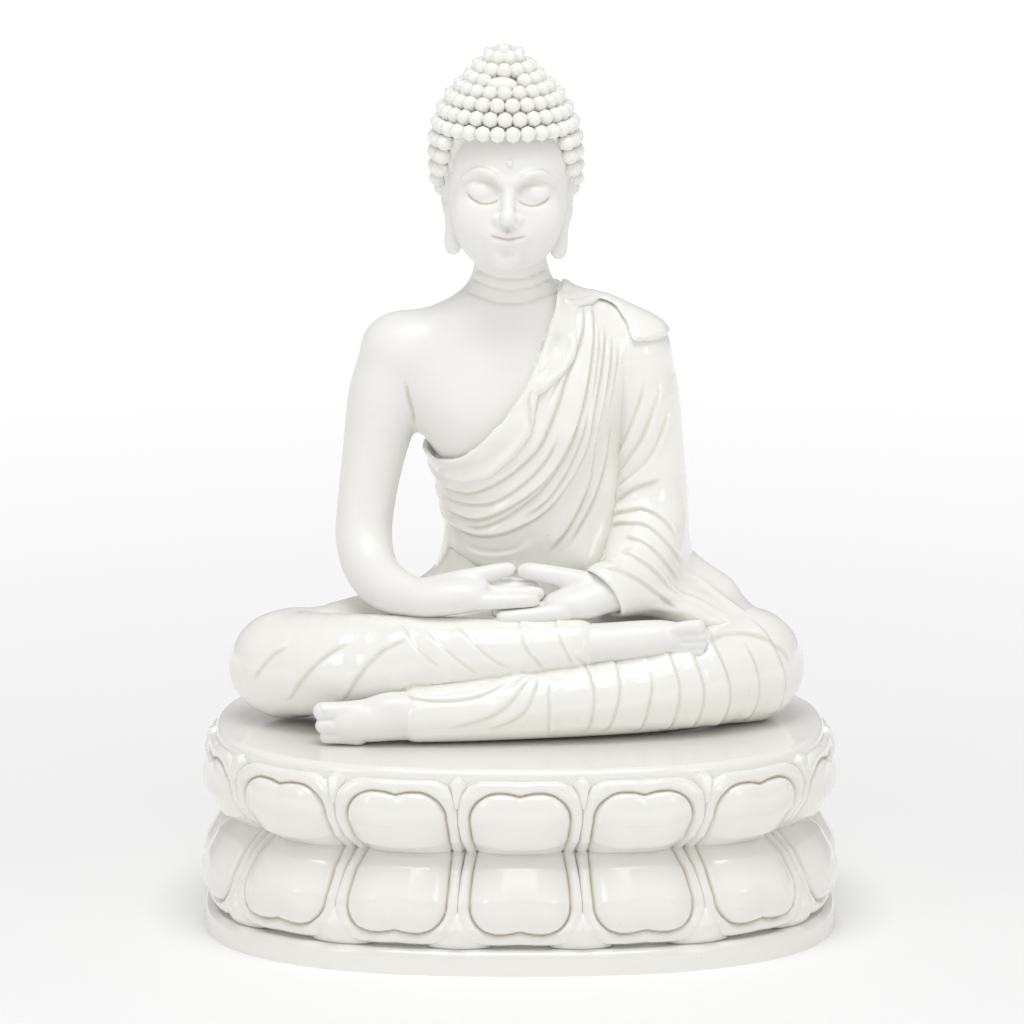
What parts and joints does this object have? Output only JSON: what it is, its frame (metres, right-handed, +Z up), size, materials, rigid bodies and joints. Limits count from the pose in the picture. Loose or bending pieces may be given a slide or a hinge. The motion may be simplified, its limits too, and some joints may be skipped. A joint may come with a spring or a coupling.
{
  "type": "seated buddha statue",
  "caption": "White porcelain seated Buddha in meditation on a two-tier lotus seat, one shoulder bare, hands laid together in the lap.",
  "frame": {"origin": "middle of the foot, on the surface that the statue stands on", "axes": "+Z up, the statue faces -Y, +X to the statue's own left, which is the robed shoulder"},
  "size_m": [0.2186, 0.1562, 0.301],
  "materials": {
    "glazed_porcelain": "glossy",
    "bisque_porcelain": "satin"
  },
  "bodies": {
    "root": {"deck": "glazed_porcelain", "hair_cap": "glazed_porcelain", "hair_curls": "glazed_porcelain", "hair_jewel": "glazed_porcelain", "head": "bisque_porcelain", "left_ear": "bisque_porcelain", "left_foot": "bisque_porcelain", "left_hand": "bisque_porcelain", "left_leg": "glazed_porcelain", "left_sleeve": "glazed_porcelain", "left_thumb": "bisque_porcelain", "lower_leaf_tips": "glazed_porcelain", "lower_lotus": "glazed_porcelain", "lower_petal_01": "glazed_porcelain", "lower_petal_02": "glazed_porcelain", "lower_petal_03": "glazed_porcelain", "lower_petal_04": "glazed_porcelain", "lower_petal_05": "glazed_porcelain", "lower_petal_06": "glazed_porcelain", "lower_petal_07": "glazed_porcelain", "lower_petal_08": "glazed_porcelain", "lower_petal_09": "glazed_porcelain", "lower_petal_10": "glazed_porcelain", "lower_petal_11": "glazed_porcelain", "lower_petal_12": "glazed_porcelain", "lower_petal_13": "glazed_porcelain", "lower_petal_14": "glazed_porcelain", "neck": "bisque_porcelain", "plinth": "glazed_porcelain", "right_arm": "bisque_porcelain", "right_ear": "bisque_porcelain", "right_foot": "bisque_porcelain", "right_hand": "bisque_porcelain", "right_leg": "glazed_porcelain", "right_thumb": "bisque_porcelain", "robe_border": "glazed_porcelain", "robe_wrap": "glazed_porcelain", "shoulder_flap": "glazed_porcelain", "sleeve_fall": "glazed_porcelain", "torso": "bisque_porcelain", "upper_leaf_tips": "glazed_porcelain", "upper_lotus": "glazed_porcelain", "upper_petal_01": "glazed_porcelain", "upper_petal_02": "glazed_porcelain", "upper_petal_03": "glazed_porcelain", "upper_petal_04": "glazed_porcelain", "upper_petal_05": "glazed_porcelain", "upper_petal_06": "glazed_porcelain", "upper_petal_07": "glazed_porcelain", "upper_petal_08": "glazed_porcelain", "upper_petal_09": "glazed_porcelain", "upper_petal_10": "glazed_porcelain", "upper_petal_11": "glazed_porcelain", "upper_petal_12": "glazed_porcelain", "upper_petal_13": "glazed_porcelain", "upper_petal_14": "glazed_porcelain", "urna_bead": "bisque_porcelain"}
  },
  "joints": []
}
